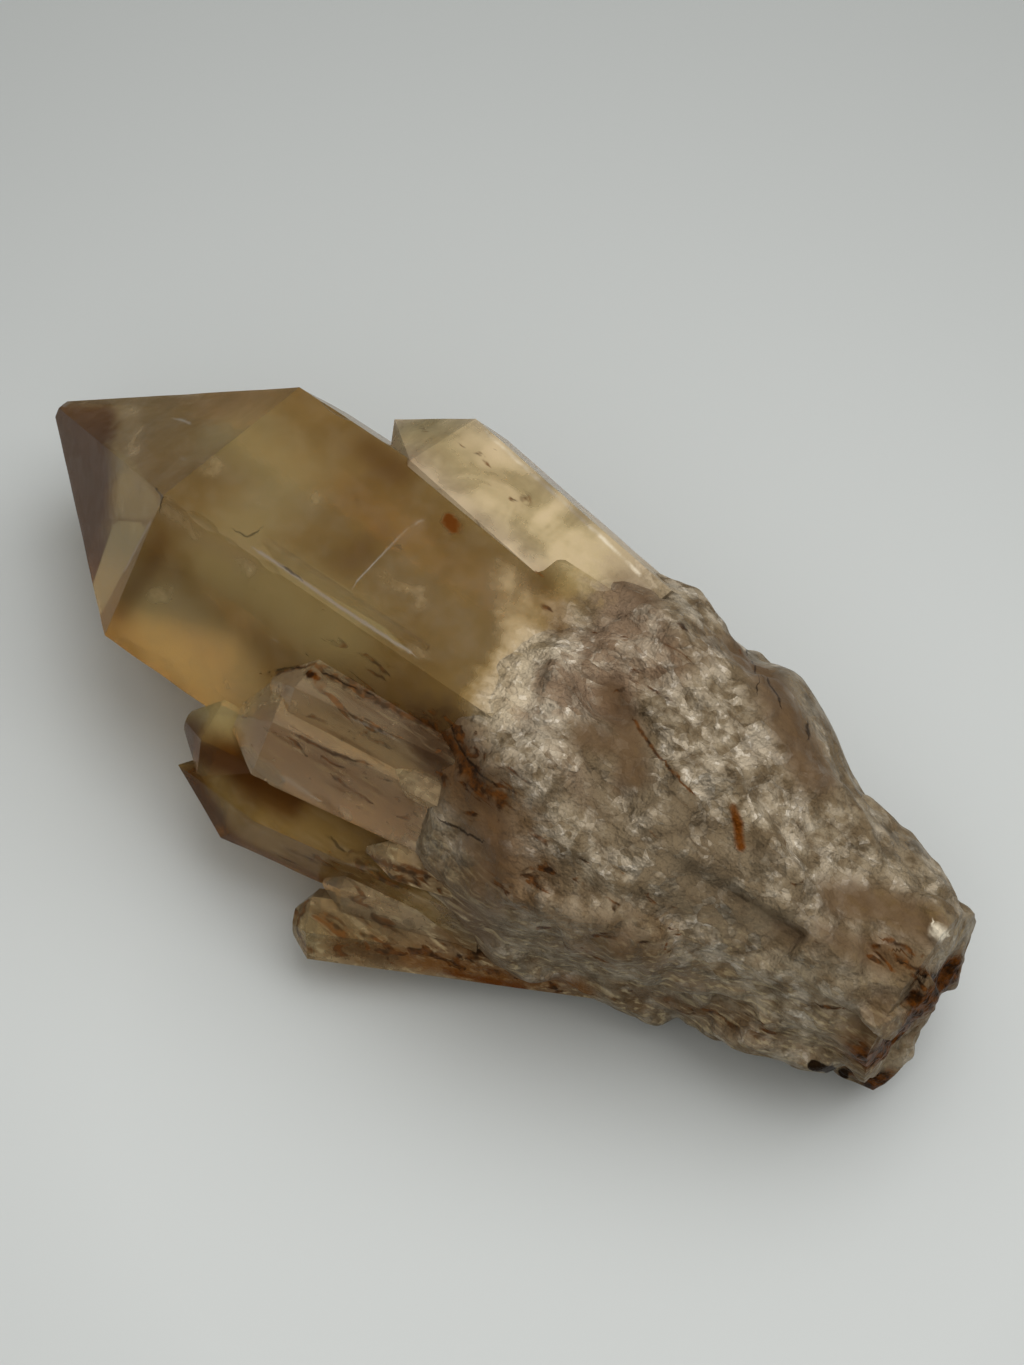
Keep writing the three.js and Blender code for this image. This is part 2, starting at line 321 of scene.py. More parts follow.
# chips of falling size, long along X like the crystals
chipLayers = (
    {"length": 15, "width": 7, "rise": 1.1, "lean": 1.4},
    {"length": 5.5, "width": 2.6, "rise": 0.3, "lean": 1.3},
    {"length": 2.2, "width": 1.3, "rise": 0.1, "lean": 1.2},
)
chipWear = 3  # rounds of smoothing, which take the sharpness off the broken surface
reliefWear = 8
lumps = ({"size": 3.2, "rise": 0.8}, {"size": 1.5, "rise": 0.45})


# how far reliefs move a point, and how much of the chipping is left: each weighs
# exp(-(along^2 + across^2)^2), flat in its middle and steep at its sides
def reliefHeight(points):
    height = np.zeros(points.shape[:-1])
    rough = np.ones(points.shape[:-1])
    for relief in reliefs:
        away = points - np.array(relief["at"])
        c, s = np.cos(np.radians(relief["heading"])), np.sin(np.radians(relief["heading"]))
        along = (c * away[..., 0] + s * away[..., 1]) / relief["half"][0]
        across = np.hypot(c * away[..., 1] - s * away[..., 0], away[..., 2]) / relief["half"][1]
        weight = np.exp(-(along ** 2 + across ** 2) ** 2)
        height += relief["rise"] * weight
        rough *= 1 - relief["smooth"] * weight
    return height, rough


# the mean of each height and its neighbours along and round, with the neighbours at half weight
def worn(height, rounds):
    for _ in range(rounds):
        padded = np.pad(height, ((1, 1), (0, 0)), mode="edge")
        height = (padded[:-2] + 2 * padded[1:-1] + padded[2:]) / 4
        height = (np.roll(height, 1, axis=1) + 2 * height + np.roll(height, -1, axis=1)) / 4
    return height


# The root's surface. Along it, a ring goes from the first section to the last and then shrinks to
# the middle of the end as the square root of what is left. Round it, an angle gives the reach of
# |cos / width|^n + |sin / height|^n = 1. Reliefs and chips then move it outwards, or along X on
# the end.
def rootObject(source):
    sections = rootTrunk["sections"]
    ringCount, endCount = rootTrunk["rings"], rootTrunk["endRings"]
    ring = np.arange(ringCount + endCount)
    trunk = np.minimum(ring, ringCount) / ringCount
    cap = (np.maximum(0, ring - ringCount) / endCount)[:, None]
    along = sections[0, 0] + (sections[-1, 0] - sections[0, 0]) * trunk
    profile = [np.interp(along, sections[:, 0], column)[:, None] for column in sections[:, 1:].T]
    y, z, halfWidth, halfHeight = profile
    angle = np.linspace(0, 2 * np.pi, rootTrunk["sides"], endpoint=False)[None]
    c, s = np.cos(angle), np.sin(angle)
    n = rootTrunk["squareness"]
    reach = (np.abs(c / halfWidth) ** n + np.abs(s / halfHeight) ** n) ** (-1 / n) * np.sqrt(1 - cap)
    x = along[:, None] + rootTrunk["endBulge"] * np.sin(np.pi / 2 * cap)
    skin = np.stack([x + 0 * reach, y + reach * c, z + reach * s], axis=-1)
    height, rough = reliefHeight(skin)
    height = worn(height, reliefWear)
    chip = worn(sum(chipHeight(skin, **layer) for layer in chipLayers), chipWear)
    chip = rough * (chip + sum(lump["rise"] * (softNoise(skin, lump["size"], 2) - 0.5) for lump in lumps))
    outwards = (height + chip) * (1 - cap)
    rings = skin + np.stack([chip * cap, outwards * c, outwards * s], axis=-1)
    rings[..., 2] = np.maximum(rings[..., 2], rootTrunk["lowest"])
    start = np.array([sections[0, 0], *sections[0, 1:3]])
    end = np.array([rings[-1, :, 0].mean(), *sections[-1, 1:3]])
    return skinObject("root", rings, start, end, source)


# bites: shell-shaped chips out of the crystals' edges, each a long round hollow. Its surface is
# (-cos down, sin down * cos round, sin down * sin round) times the half sizes.
bites = {
    "ridgeStart": {"at": (28.2, -10.4, 34.6), "half": (2.4, 1.2, 1.2)},
    "ridge": {"at": (32.4, -10.3, 34.7), "half": (3.4, 1.5, 1.5)},
    "ridgeEnd": {"at": (36.3, -10.3, 34.7), "half": (2.2, 1.1, 1.3)},
    "ridgeMiddle": {"at": (41.5, -10.2, 34.6), "half": (2.4, 1.3, 1.2)},
    "nearEdge": {"at": (49.5, -19.9, 16.5), "half": (2.6, 1.1, 1.2)},
    "farEdge": {"at": (34, 10.3, 34.5), "half": (3.2, 1.2, 1.3)},
}
biteRings = 16
biteSides = 32


def biteObject(name, bite):
    down = np.linspace(0, np.pi, biteRings + 2)[1:-1, None]
    angle = np.linspace(0, 2 * np.pi, biteSides, endpoint=False)[None]
    unit = [-np.cos(down) + 0 * angle, np.sin(down) * np.cos(angle), np.sin(down) * np.sin(angle)]
    at, half = np.array(bite["at"]), np.array(bite["half"])
    ends = np.array([half[0], 0, 0])
    return skinObject(name, np.stack(unit, axis=-1) * half + at, at - ends, at + ends, 1)


# the crystals and the root grow into each other, so they are joined into one closed skin
def joinedSkin():
    whole = rootObject(0)
    steps = [("UNION", crystalObject(name, crystals[name], 1 + n)) for n, name in enumerate(crystals)]
    steps += [("DIFFERENCE", biteObject(name, bite)) for name, bite in bites.items()]
    for operation, other in steps:
        join = whole.modifiers.new(other.name, "BOOLEAN")
        join.operation, join.solver, join.object = operation, "MANIFOLD", other
    joined = whole.evaluated_get(bpy.context.evaluated_depsgraph_get())
    mesh = bpy.data.meshes.new_from_object(joined)
    for used in [whole] + [other for _, other in steps]:
        bpy.data.objects.remove(used)
    mesh.name = "citrine_specimen"
    skin = bpy.data.objects.new("citrine_specimen", mesh)
    bpy.context.scene.collection.objects.link(skin)
    low, high = (np.array(corner) for corner in cadBox)
    points = np.zeros(3 * len(mesh.vertices), np.float32)
    mesh.vertices.foreach_get("co", points)
    points = np.clip(points.reshape(-1, 3), low, high)
    mesh.vertices.foreach_set("co", points.astype(np.float32).reshape(-1))
    return skin


# the photograph's view: how far it is turned and raised, how far away it is, and where it looks
view = {
    "turn": 38.3,
    "rise": 58.0,
    "distance": 340,
    "target": (63.589, 2.429, 18),
    "pixelSize": 0.106,  # of one photograph pixel, at the target
    "pictureWidth": 1024,
    "pictureHeight": 1365,
    "sensor": 36,
}
turn, rise = np.radians(view["turn"]), np.radians(view["rise"])
viewBack = np.array([np.sin(turn) * np.cos(rise), -np.cos(turn) * np.cos(rise), np.sin(rise)])
viewRight = np.array([np.cos(turn), np.sin(turn), 0])
viewUp = np.cross(viewBack, viewRight)
viewPlace = np.array(view["target"]) + view["distance"] * viewBack


def addCamera():
    data = bpy.data.cameras.new("camera")
    camera = bpy.data.objects.new("camera", data)
    bpy.context.scene.collection.objects.link(camera)
    place = Matrix(np.column_stack([viewRight, viewUp, viewBack]).tolist()).to_4x4()
    place.translation = Vector(toFrame(viewPlace).tolist())
    camera.matrix_world = place
    data.sensor_fit = "VERTICAL"
    data.sensor_height = view["sensor"]
    data.lens = view["sensor"] * view["distance"] / (view["pixelSize"] * view["pictureHeight"])
    bpy.context.scene.camera = camera


# the place on the skin, in millimetres, that a pixel of the photograph shows
def skinUnder(pixel, tree):
    across = (pixel[0] - view["pictureWidth"] / 2) * view["pixelSize"]
    down = (pixel[1] - view["pictureHeight"] / 2) * view["pixelSize"]
    towards = across * viewRight - down * viewUp - view["distance"] * viewBack
    hit, normal, _, _ = tree.ray_cast(Vector(toFrame(viewPlace).tolist()), Vector(towards.tolist()))
    if hit is None:
        return None, None
    return np.array(hit) / mm + originMm, np.array(normal)


specimen = joinedSkin()
print("specimen joined:", len(specimen.data.vertices), "points", len(specimen.data.polygons), "faces")
skinTree = BVHTree.FromObject(specimen, bpy.context.evaluated_depsgraph_get())

# Cracks, each a path of the photograph's pixels with half its width in millimetres
cracks = {
    "rust": (
        {"path": ((264, 677), (288, 671), (307, 666), (320, 666), (327, 674)), "half": 0.3, "strength": 0.9},
        {"path": ((327, 674), (371, 696), (405, 716), (431, 725), (444, 736)), "half": 0.5, "strength": 1.1},
        {"path": ((444, 736), (463, 755), (470, 780), (500, 800)), "half": 0.8, "strength": 1.1},
        {"path": ((365, 655), (378, 664), (384, 672)), "half": 0.25, "strength": 0.9},
        {"path": ((310, 716), (340, 728), (360, 735), (400, 750)), "half": 0.25, "strength": 0.7},
        {"path": ((297, 735), (330, 752), (370, 765)), "half": 0.25, "strength": 0.7},
        {"path": ((334, 776), (350, 790), (368, 800)), "half": 0.25, "strength": 0.8},
        {"path": ((372, 858), (400, 868), (425, 875)), "half": 0.55, "strength": 0.9},
        {"path": ((352, 852), (375, 858)), "half": 0.3, "strength": 0.9},
        {"path": ((304, 905), (300, 935), (312, 950)), "half": 0.5, "strength": 0.8},
        {"path": ((635, 722), (652, 748), (675, 775), (690, 790)), "half": 0.2, "strength": 1},
        {"path": ((898, 958), (912, 968), (925, 974), (947, 990)), "half": 0.45, "strength": 1},
        {"path": ((888, 940), (905, 945), (912, 952)), "half": 0.3, "strength": 0.9},
        {"path": ((822, 1006), (838, 1008)), "half": 0.3, "strength": 0.9},
        {"path": ((700, 1008), (735, 1026)), "half": 0.4, "strength": 0.9},
        {"path": ((618, 690), (640, 680), (670, 700)), "half": 0.3, "strength": 0.6},
    ),
    "dark": (
        {"path": ((264, 677), (271, 671), (300, 667)), "half": 0.15, "strength": 1},
        {"path": ((328, 674), (350, 686), (371, 694)), "half": 0.12, "strength": 0.9},
        {"path": ((452, 728), (462, 750), (478, 772), (492, 782)), "half": 0.16, "strength": 0.9},
        {"path": ((445, 822), (462, 830), (480, 840)), "half": 0.15, "strength": 1},
        {"path": ((186, 745), (178, 765), (195, 800), (216, 832)), "half": 0.25, "strength": 0.7},
        {"path": ((330, 835), (336, 845), (342, 850)), "half": 0.15, "strength": 0.9},
        {"path": ((290, 910), (300, 902)), "half": 0.3, "strength": 0.9},
        {"path": ((747, 650), (755, 668), (757, 690)), "half": 0.13, "strength": 1},
        {"path": ((768, 680), (780, 702)), "half": 0.2, "strength": 1},
        {"path": ((808, 727), (808, 733)), "half": 0.4, "strength": 1.2},
        {"path": ((900, 962), (925, 976), (945, 990)), "half": 0.15, "strength": 0.9},
        {"path": ((156, 488), (163, 497), (160, 505)), "half": 0.13, "strength": 1},
        {"path": ((238, 532), (247, 537), (256, 532)), "half": 0.13, "strength": 1},
        {"path": ((286, 568), (300, 578)), "half": 0.15, "strength": 0.8},
    ),
    # healed cracks, and painted highlights: bright edges, the far crystal's lit strip and glints
    "frostAndHighlight": (
        {"path": ((354, 584), (369, 568), (384, 553)), "half": 0.12, "strength": 0.9},
        {"path": ((384, 553), (405, 530), (425, 518)), "half": 0.15, "strength": 0.6},
        {"path": ((348, 718), (375, 728), (400, 742)), "half": 0.2, "strength": 0.6},
        {"path": ((284, 778), (300, 788), (314, 798)), "half": 0.35, "strength": 0.9},
        {"path": ((471, 419), (530, 472), (594, 530), (640, 575)), "half": 0.25, "strength": 0.6},
        {"path": ((350, 865), (365, 868), (385, 872)), "half": 0.3, "strength": 0.6},
        {"path": ((150, 522), (125, 570), (100, 617)), "half": 0.18, "strength": 1},
        {"path": ((258, 551), (291, 573), (340, 607), (410, 652)), "half": 0.22, "strength": 0.9},
        {"path": ((275, 640), (290, 652)), "half": 0.15, "strength": 0.6},
        {"path": ((176, 418), (192, 424)), "half": 0.2, "strength": 0.8},
        {"path": ((170, 452), (182, 458)), "half": 0.4, "strength": 0.5},
        {"path": ((936, 930), (944, 936)), "half": 0.8, "strength": 1.2},
    ),
}
crackReach = 0.9  # millimetres beyond its sides within which a crack is known

# Patches that fade out over half, in millimetres, from a path of the photograph's pixels
patches = {
    "rust": (
        {"path": ((308, 672), (322, 688)), "half": 1.0, "strength": 1},
        {"path": ((290, 848), (325, 866)), "half": 1.0, "strength": 0.8},
        {"path": ((866, 1062), (885, 1045), (905, 1030), (915, 1015), (930, 1000), (948, 975)),
         "half": 3, "strength": 1.2},
        {"path": ((880, 1085), (950, 1000)), "half": 3.4, "strength": 1.15},
        {"path": ((850, 1070), (872, 1080)), "half": 2.0, "strength": 0.8},
        {"path": ((640, 990), (700, 1012)), "half": 1.5, "strength": 0.6},
    ),
    "dark": (
        {"path": ((814, 1066), (828, 1069), (843, 1075)), "half": 0.7, "strength": 1.1},
    ),
    "ember": (
        {"path": ((447, 519), (457, 528)), "half": 1.0, "strength": 1.2},
        {"path": ((445, 970), (480, 979), (522, 988)), "half": 0.8, "strength": 0.9},
        {"path": ((733, 808), (737, 822), (741, 846)), "half": 0.8, "strength": 0.9},
        {"path": ((880, 1060), (915, 1035), (945, 995)), "half": 1.3, "strength": 0.55},
    ),
    # umber and painted shade: the smoky brown of some crystals, and painted shade seen inside the point and
    # under the ledges
    "umberAndPaintedShade": (
        {"path": ((190, 738), (235, 762)), "half": 2.6, "strength": 1},
        {"path": ((62, 405), (70, 470), (92, 570)), "half": 6, "strength": 1},
        {"path": ((162, 540), (146, 575), (118, 612)), "half": 2, "strength": 0.45},
        {"path": ((345, 565), (375, 540)), "half": 3.6, "strength": 0.4},
        {"path": ((185, 745), (195, 790), (225, 838)), "half": 3, "strength": 1},
        {"path": ((240, 770), (290, 800)), "half": 2.4, "strength": 0.9},
        {"path": ((232, 838), (280, 862), (320, 880)), "half": 1.4, "strength": 0.7},
        {"path": ((340, 948), (430, 962), (520, 982), (580, 990)), "half": 2.2, "strength": 0.65},
        {"path": ((370, 450), (400, 470)), "half": 3, "strength": 0.5},
    ),
    # painted light: brighter, yellower zones where light comes through the crystals
    "paintedGlow": (
        {"path": ((165, 625), (215, 665), (235, 700)), "half": 6, "strength": 1},
        {"path": ((420, 430), (520, 500), (590, 560)), "half": 5, "strength": 0.8},
        {"path": ((300, 930), (360, 945)), "half": 3, "strength": 0.5},
        {"path": ((270, 690), (330, 720), (400, 760)), "half": 3, "strength": 0.5},
        {"path": ((230, 430), (290, 480), (250, 520)), "half": 6, "strength": 0.6},
        {"path": ((220, 560), (290, 600), (340, 640)), "half": 6, "strength": 0.7},
    ),
    # brownish clear quartz, and painted shade in the root's middle valley
    "teaAndPaintedShade": (
        {"path": ((560, 940), (620, 950), (690, 985)), "half": 3, "strength": 0.6},
        # painted shade: these two darken the valley in the root's middle
        {"path": ((613, 695), (628, 735), (632, 775)), "half": 2.2, "strength": 1},
        {"path": ((585, 735), (612, 745)), "half": 2.2, "strength": 0.9},
        {"path": ((880, 1010), (860, 1060)), "half": 4, "strength": 0.7},
        {"path": ((745, 660), (780, 700), (815, 770)), "half": 3.6, "strength": 1},
        {"path": ((835, 900), (880, 905), (925, 925)), "half": 2.8, "strength": 0.9},
        {"path": ((790, 930), (850, 945), (900, 960)), "half": 2.6, "strength": 0.7},
        {"path": ((620, 580), (650, 600)), "half": 2.5, "strength": 0.6},
        {"path": ((440, 735), (475, 800), (490, 870), (470, 930)), "half": 4.5, "strength": 0.9},
    ),
    "stain": (
        {"path": ((350, 690), (430, 735), (500, 800), (530, 880)), "half": 4.5, "strength": 1},
        {"path": ((300, 860), (380, 872), (440, 880)), "half": 3, "strength": 0.9},
        {"path": ((330, 930), (450, 955), (560, 985)), "half": 3.5, "strength": 1},
        {"path": ((300, 905), (305, 950)), "half": 1.5, "strength": 1},
        {"path": ((260, 720), (340, 770), (400, 810)), "half": 4, "strength": 0.7},
        {"path": ((190, 740), (200, 800)), "half": 2.5, "strength": 0.6},
        {"path": ((860, 1060), (910, 1025), (950, 985)), "half": 4.5, "strength": 1.1},
        {"path": ((880, 950), (930, 985)), "half": 2.5, "strength": 0.8},
        {"path": ((640, 1000), (760, 1030)), "half": 2.5, "strength": 0.8},
        {"path": ((620, 640), (680, 660), (720, 640)), "half": 4, "strength": 0.5},
        {"path": ((420, 425), (470, 450), (520, 500)), "half": 2.5, "strength": 0.5},
        {"path": ((540, 580), (560, 630)), "half": 2, "strength": 0.8},
        {"path": ((560, 920), (660, 940)), "half": 5, "strength": 0.6},
    ),
    "veil": (
        {"path": ((128, 408), (130, 440), (142, 478)), "half": 2.2, "strength": 0.8},
        {"path": ((103, 440), (101, 470), (106, 500)), "half": 0.7, "strength": 0.8},
        {"path": ((165, 508), (200, 535), (250, 562)), "half": 2, "strength": 0.8},
        {"path": ((180, 460), (250, 500), (320, 520)), "half": 5, "strength": 0.45},
        {"path": ((395, 575), (430, 600), (470, 640)), "half": 4, "strength": 0.7},
        {"path": ((402, 540), (425, 520)), "half": 0.9, "strength": 0.8},
        {"path": ((470, 440), (520, 500), (580, 560)), "half": 3.5, "strength": 0.7},
        {"path": ((500, 580), (520, 650), (500, 700)), "half": 4, "strength": 0.8},
        {"path": ((170, 600), (200, 640), (240, 690)), "half": 4, "strength": 0.6},
        {"path": ((330, 850), (355, 862)), "half": 2, "strength": 0.5},
    ),
    "chalk": (
        {"path": ((525, 640), (515, 700), (540, 745)), "half": 3.5, "strength": 1.1},
        {"path": ((515, 660), (560, 650), (590, 660)), "half": 3, "strength": 0.8},
        {"path": ((640, 650), (680, 700), (720, 760)), "half": 4, "strength": 0.7},
        {"path": ((700, 640), (740, 730), (800, 820)), "half": 3.2, "strength": 0.8},
        {"path": ((760, 800), (830, 880)), "half": 4, "strength": 0.6},
        {"path": ((560, 840), (620, 860)), "half": 4, "strength": 0.4},
        {"path": ((700, 950), (800, 1010), (840, 1030)), "half": 3.5, "strength": 0.5},
        {"path": ((670, 585), (710, 612)), "half": 2, "strength": 0.8},
    ),
    "mauve": (
        {"path": ((540, 690), (600, 690), (620, 640)), "half": 5, "strength": 1},
        {"path": ((620, 600), (660, 660)), "half": 4, "strength": 0.8},
        {"path": ((560, 760), (600, 800)), "half": 4, "strength": 0.5},
    ),
    "olive": (
        {"path": ((640, 790), (680, 850), (720, 900)), "half": 6, "strength": 1},
        {"path": ((760, 860), (790, 900)), "half": 4, "strength": 0.6},
    ),
}

# Sharp-edged panes of painted light and shade that stand for what shows through the main crystal's faces,
# outlined in the photograph's pixels
panes = {
    "shadePane": (
        (40, 395), (116, 400), (124, 421), (114, 447), (116, 477), (114, 520), (91, 590), (60, 560),
    ),
    "windowPane": ((114, 520), (150, 522), (100, 618), (90, 590)),
    "facetPane": ((115, 446), (135, 459), (155, 490), (164, 508), (150, 522), (114, 520), (116, 477)),
    "ledgePane": (
        (255, 549), (275, 549), (312, 562), (352, 588), (412, 652), (404, 655), (340, 607), (291, 573),
    ),
    "stepPane": ((356, 582), (384, 553), (410, 556), (560, 600), (560, 700), (412, 660)),
}
rootMilk = {
    "mainStart": (62, 73),  # millimetres along the main crystal where it clouds over
    "sideStart": (60, 80),
    "endClear": (104, 116),  # the broken end is less milky
    "endShare": 0.85,
    "sideShare": 0.8,  # of a side crystal's foot that clouds over
    "mostMilk": 0.9,
    "fibrousShare": 0.6,
    "fibrousFrom": (0, -12),  # towards the near side
    "fibrousBelow": (30, 16),
}
offPane = -9  # a pane's field away from the main crystal
sharpAngle = 24  # degrees between two faces from which their edge shows


def skinPath(pixels):
    found = [skinUnder(pixel, skinTree) for pixel in pixels]
    found = [(place, normal) for place, normal in found if place is not None]
    if len(found) < len(pixels):
        print("a path misses the skin:", pixels)
    return found


# how near each point is to a patch: strength * exp(-(distance / half)^2), the most of all patches
def patchField(points, kind):
    field = np.zeros(len(points))
    for patch in patches[kind]:
        path = [place for place, _ in skinPath(patch["path"])]
        nearest = np.full(len(points), np.inf)
        for start, end in zip(path, path[1:] or path):
            step = end - start
            share = np.clip((points - start) @ step / max(step @ step, 1e-9), 0, 1)[:, None]
            nearest = np.minimum(nearest, np.linalg.norm(points - start - share * step, axis=1))
        field = np.maximum(field, patch["strength"] * np.exp(-(nearest / patch["half"]) ** 2))
    return field


# For each point, its distance from the nearest crack over the crack's half width, above 0 on one
# side of the crack and below 0 on the other, so that the crack stays sharp on a coarse mesh, and
# how near it is: strength * exp(-(distance / (half + reach))^2).
def crackFields(points, kind):
    across = np.full(len(points), 9.0)
    near = np.zeros(len(points))
    for crack in cracks[kind]:
        path = skinPath(crack["path"])
        for (start, normal), (end, _) in zip(path, path[1:]):
            step = end - start
            share = np.clip((points - start) @ step / max(step @ step, 1e-9), 0, 1)[:, None]
            away = points - start - share * step
            distance = np.linalg.norm(away, axis=1)
            side = np.where(away @ np.cross(normal, step) < 0, -1, 1)
            nearness = crack["strength"] * np.exp(-(distance / (crack["half"] + crackReach)) ** 2)
            across = np.where(nearness > near, side * distance / crack["half"], across)
            near = np.maximum(near, nearness)
    return across, near


# For each point that faces the view, how far inside the pane's outline it shows, in millimetres,
# and below 0 outside: the distance to the nearest side, its sign by how many sides are crossed.
def paneField(points, facing, outline):
    seen = points - viewPlace
    depth = -(seen @ viewBack)
    size = view["distance"] / view["pixelSize"] / depth
    x = view["pictureWidth"] / 2 + (seen @ viewRight) * size
    y = view["pictureHeight"] / 2 - (seen @ viewUp) * size
    nearest = np.full(len(points), np.inf)
    inside = np.zeros(len(points), bool)
    for (ax, ay), (bx, by) in zip(outline, outline[1:] + outline[:1]):
        sideX, sideY = bx - ax, by - ay
        share = np.clip(((x - ax) * sideX + (y - ay) * sideY) / (sideX ** 2 + sideY ** 2), 0, 1)
        nearest = np.minimum(nearest, np.hypot(x - ax - share * sideX, y - ay - share * sideY))
        rises = (ay > y) != (by > y)
        slope = sideX / sideY if sideY else 0
        inside ^= rises & (x < ax + (y - ay) * slope)
    return np.where(facing, np.where(inside, nearest, -nearest) * view["pixelSize"], offPane)


def paintSkin(skin):
    mesh = skin.data
    points = np.zeros(3 * len(mesh.vertices), np.float32)
    mesh.vertices.foreach_get("co", points)
    points = points.reshape(-1, 3) / mm + originMm
    cornerPoint = np.zeros(len(mesh.loops), np.int32)
    mesh.loops.foreach_get("vertex_index", cornerPoint)
    faceSource = np.zeros(len(mesh.polygons), np.int32)
    mesh.attributes["source"].data.foreach_get("value", faceSource)
    faceSize = np.zeros(len(mesh.polygons), np.int32)
    mesh.polygons.foreach_get("loop_total", faceSize)
    cornerSource = np.repeat(faceSource, faceSize)

    # milk: the root is milky, and every crystal has its own haze and clouds over towards the root
    x = points[:, 0]
    names = list(crystals)
    haze = np.array([1.0] + [crystals[name]["haze"] for name in names])
    clouded = np.where(
        (cornerSource == 1), smoothStep(*rootMilk["mainStart"], x)[cornerPoint],
        smoothStep(*rootMilk["sideStart"], x)[cornerPoint] * rootMilk["sideShare"],
    )
    atEnd = (1 - (1 - rootMilk["endShare"]) * smoothStep(*rootMilk["endClear"], x))[cornerPoint]
    hazy = haze[cornerSource]
    milk = np.where(cornerSource == 0, atEnd, hazy + (rootMilk["mostMilk"] - hazy) * clouded)

    # crust: packed small crystals cover the root and the clouded part of each crystal
    crust = np.where(cornerSource == 0, 1, clouded)

    # fibres: the side crystals and the root's near side are streaked along their length
    near = smoothStep(*rootMilk["fibrousFrom"], points[:, 1])
    low = smoothStep(*rootMilk["fibrousBelow"], points[:, 2])
    fibrous = (near * low)[cornerPoint] * rootMilk["fibrousShare"]
    streaked = np.array([0] + [crystals[name].get("streaks", 0) for name in names])[cornerSource]
    fibrous = np.where(cornerSource == 0, fibrous, streaked)
    pale = np.array([0] + [crystals[name].get("pale", 0) for name in names])[cornerSource]
    fields = {"milk": milk, "crust": crust, "fibrous": fibrous, "pale": pale}
    normals = np.zeros(3 * len(points), np.float32)
    mesh.vertices.foreach_get("normal", normals)
    facing = normals.reshape(-1, 3) @ viewBack > 0
    onMain = cornerSource == 1
    for name, outline in panes.items():
        fields[name] = np.where(onMain, paneField(points, facing, outline)[cornerPoint], offPane)
    for kind in patches:
        fields[kind + "Patch"] = patchField(points, kind)[cornerPoint]
    for kind in cracks:
        across, near = crackFields(points, kind)
        fields[kind + "Across"], fields[kind + "Near"] = across[cornerPoint], near[cornerPoint]
    for name, values in fields.items():
        layer = mesh.attributes.new(name, "FLOAT", "CORNER")
        layer.data.foreach_set("value", values.astype(np.float32))
    return list(fields)


skinFields = paintSkin(specimen)
specimen.data.set_sharp_from_angle(angle=np.radians(sharpAngle))
print("skin painted")


# adds a node, with its settings by name and its inputs by name or in order, and gives its output: a
# socket is linked, a hex colour is turned to linear, and any other value is set on the input
def addNode(nodes, kind, inputs=(), output=0, **settings):
    node = nodes.new("ShaderNode" + kind)
    for name, value in settings.items():
        setattr(node, name, value)
    for name, value in (inputs.items() if isinstance(inputs, dict) else enumerate(inputs)):
        socket = node.inputs[name]
        if isinstance(value, bpy.types.NodeSocket):
            nodes.id_data.links.new(value, socket)
        elif isinstance(value, str):
            socket.default_value = hexToLinear(value)
        else:
            socket.default_value = value
    return node.outputs[output] if node.outputs else node


# Quartz, IOR 1.544, grown in hot water: glass-clear where it grew slowly and milky with tiny water
# bubbles where it grew fast. Iron makes the honey colour, and rust fills the cracks.
quartz = {
    "clear": "#c8ac6e",
    "clearDeep": "#a68a4c",
    "pale": "#efe0cb",
    # dark brown, both for smoky quartz and for painted shade
    "umberAndPaintedShade": "#7d4f10",
    # painted light
    "paintedGlow": "#f3e4ac",
    "veil": "#dccbab",
    "milkHoney": "#937a4e",
    "milkPale": "#c9b89c",
    "milkBrown": "#7e705b",
    "milkCloud": "#a09480",
    "mauve": "#95826f",
    "olive": "#857864",
    # brownish clear quartz, also used as painted shade in the root's valley
    "teaAndPaintedShade": "#6c5741",
    "chalk": "#c8bdab",
    "crust": "#efe7da",
    # painted shade in the creases between facets
    "paintedCreviceShade": "#4c3a25",
    "rust": "#6b4012",
    "rustDeep": "#321b09",
    "stain": "#6a4416",
    "ember": "#6e4010",
    "streak": "#7c5825",
    "thread": "#e8d8b2",
    "dark": "#22140a",
    # white of healed cracks and of painted highlights
    "frostAndHighlight": "#eee5d2",
    "ior": 1.544,
    "roughRise": 0.6,
    "gloss": 0.35,
    "glossTint": "#b09468",
    "absorb": "#dcc07a",
    "absorbPerMetre": 45,
    "seeThrough": (0.72, 0.08),  # where clear and where milky
    "roughness": (0.2, 0.42),
    "patterns": {  # sizes in millimetres; a bend makes wavy outlines, a stretch runs along X
        "cloud": {"size": 7.0, "detail": 3, "bend": 0.6},
        "wisp": {"size": 1.6, "detail": 3, "bend": 1.2},
        "grit": {"size": 0.4, "detail": 1},
        "grain": {"size": 0.9, "detail": 2},
        "mottle": {"size": 2.6, "detail": 4, "roughness": 0.62},
        "sugar": {"size": 1.0, "detail": 2, "roughness": 0.6},
        "fibre": {"size": 1.3, "detail": 3, "stretch": 9},
        "fineFibre": {"size": 0.5, "detail": 2, "stretch": 9},
        "fleck": {"size": 1.5, "detail": 3, "bend": 0.8, "stretch": 3},
    },
    "facets": ({"size": 2.0, "lean": 0.75, "step": 0.45}, {"size": 0.8, "lean": 0.6, "step": 0.25}),
    "facetBend": 0.6,
    "facetBendSize": 1.6,
    "facetStretch": 1.5,
}


